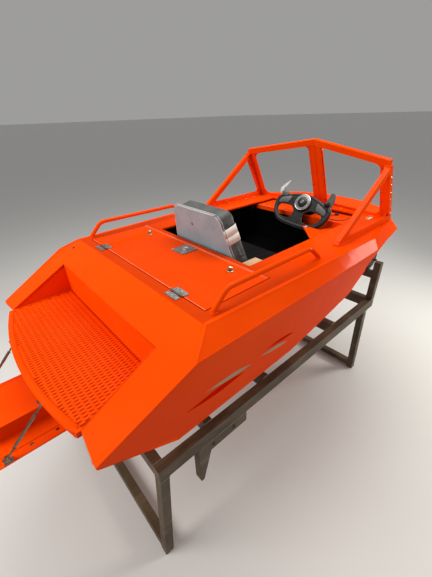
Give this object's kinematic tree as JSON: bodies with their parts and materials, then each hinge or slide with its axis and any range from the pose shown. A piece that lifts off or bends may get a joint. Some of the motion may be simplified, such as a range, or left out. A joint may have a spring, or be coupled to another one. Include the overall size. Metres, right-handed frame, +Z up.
{
  "type": "mini jet boat on a transport stand",
  "caption": "Small open jet boat with engine hatch, swim platform, unglazed windscreen frame and helm, on a steel stand.",
  "frame": {"origin": "centre of the bounding box's base, on the floor under the stand", "axes": "+X towards the bow, +Y to port, +Z up"},
  "size_m": [2.975, 1.464, 1.9791],
  "materials": {
    "orange_paint": "gloss orange paint on welded plate",
    "black_liner": "matt black lining",
    "stainless": "stainless hardware",
    "bare_aluminium": "bare cast and plate aluminium",
    "brown_primer": "brown primer on steel box section",
    "shell_grey": "light grey backrest shell",
    "pad_grey": "dark grey vinyl",
    "seat_black": "black vinyl",
    "lanyard_red": "dark red lanyard cord",
    "grip_rubber": "black rubber",
    "beige_board": "bare beige board",
    "engine_grey": "grey engine block"
  },
  "bodies": {
    "hull": {"aft_deck": "orange_paint", "backrest_pad": "pad_grey", "backrest_shell": "shell_grey", "bow_chock": "grip_rubber", "bunk_port": "grip_rubber", "bunk_stbd": "grip_rubber", "cockpit_floor": "black_liner", "column_pod": "black_liner", "dash_face": "black_liner", "dash_shelf": "orange_paint", "engine_bed": "bare_aluminium", "engine_block": "engine_grey", "foredeck": "orange_paint", "gunwale_port": "orange_paint", "gunwale_stbd": "orange_paint", "handrail_port": "orange_paint", "handrail_stbd": "orange_paint", "hinge_base_port": "stainless", "hinge_base_stbd": "stainless", "hull_bottom": "orange_paint", "jet_cover": "orange_paint", "jet_intake": "bare_aluminium", "jet_pump": "bare_aluminium", "keel_bar": "orange_paint", "liner_port": "black_liner", "liner_stbd": "black_liner", "recess_walls": "orange_paint", "screen_front": "orange_paint", "screen_side_port": "orange_paint", "screen_side_stbd": "orange_paint", "screen_top_bar": "orange_paint", "seat_board": "beige_board", "seat_box": "black_liner", "seat_cushion": "seat_black", "side_port": "orange_paint", "side_stbd": "orange_paint", "helm_panel": "orange_paint", "lanyard": "lanyard_red", "lanyard_clip": "grip_rubber", "bow_roll_port": "grip_rubber", "bow_roll_stbd": "grip_rubber", "stand_legs_aft": "brown_primer", "stand_legs_fore": "brown_primer", "stand_upper_frame": "brown_primer", "stay_port": "stainless", "stay_stbd": "stainless", "steering_column": "black_liner", "stern_slope": "orange_paint", "swim_platform": "orange_paint", "transom": "orange_paint"},
    "hatch": {"engine_hatch": "orange_paint", "hinge_leaf_port": "stainless", "hinge_leaf_stbd": "stainless", "hatch_latch": "stainless"},
    "helm": {"steering_wheel": "grip_rubber", "hub_ring": "stainless"},
    "nozzle": {"jet_nozzle": "bare_aluminium"},
    "rotor": {"impeller": "stainless"}
  },
  "joints": [
    {"name": "hatch_hinge", "type": "hinge", "parent": "hull", "child": "hatch", "pos_m": [-0.6315, 0, 1.477], "axis": [0, -1, 0], "range_deg": [0, 75]},
    {"name": "helm_turn", "type": "hinge", "parent": "hull", "child": "helm", "pos_m": [0.7915, -0.06, 1.54], "axis": [-0.8192, 0, 0.5736], "range_deg": [-100, 100]},
    {"name": "nozzle_yaw", "type": "hinge", "parent": "hull", "child": "nozzle", "pos_m": [-1.0995, 0, 0.935], "axis": [0, 0, 1], "range_deg": [-22, 22]},
    {"name": "rotor_spin", "type": "hinge", "parent": "hull", "child": "rotor", "pos_m": [-0.9475, 0, 0.935], "axis": [-1, 0, 0], "continuous": true}
  ],
  "couplings": [
    {"joint": "nozzle_yaw", "follows": "helm_turn", "ratio": -0.22}
  ]
}
